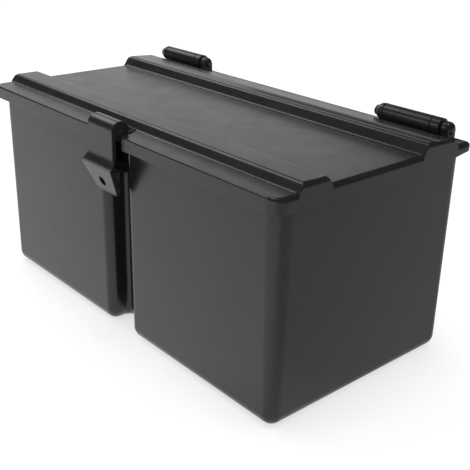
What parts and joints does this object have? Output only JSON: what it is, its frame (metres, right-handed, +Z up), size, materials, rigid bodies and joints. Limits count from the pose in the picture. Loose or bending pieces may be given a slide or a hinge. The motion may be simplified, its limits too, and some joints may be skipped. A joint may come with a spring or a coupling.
{
  "type": "tractor tool box",
  "caption": "Long rectangular plastic box with an overhanging ribbed lid on rear barrel hinges and a front hasp with a padlock hole.",
  "frame": {"origin": "middle of the tub's resting face, at its underside", "axes": "+X along the box's length to its right, +Y from the hasp to the hinges, +Z up"},
  "size_m": [0.3684, 0.2098, 0.1874],
  "materials": {
    "tub_plastic": "satin moulded polypropylene, charcoal",
    "lid_plastic": "satin moulded polypropylene, charcoal",
    "hasp_plastic": "satin moulded plastic, charcoal",
    "pin_steel": "plain steel pin"
  },
  "bodies": {
    "box": {"tub": "tub_plastic", "left_hinge_pin": "pin_steel", "right_hinge_pin": "pin_steel"},
    "lid": {"lid": "lid_plastic", "hasp_pin": "pin_steel"},
    "hasp": {"hasp": "hasp_plastic"}
  },
  "joints": [
    {"name": "lid_hinge", "type": "hinge", "parent": "box", "child": "lid", "pos_m": [0, 0.08705, 0.1806], "axis": [-1, 0, 0], "range_deg": [0, 100]},
    {"name": "hasp_hinge", "type": "hinge", "parent": "lid", "child": "hasp", "pos_m": [0, -0.0992, 0.1749], "axis": [-1, 0, 0], "range_deg": [0, 80]}
  ]
}
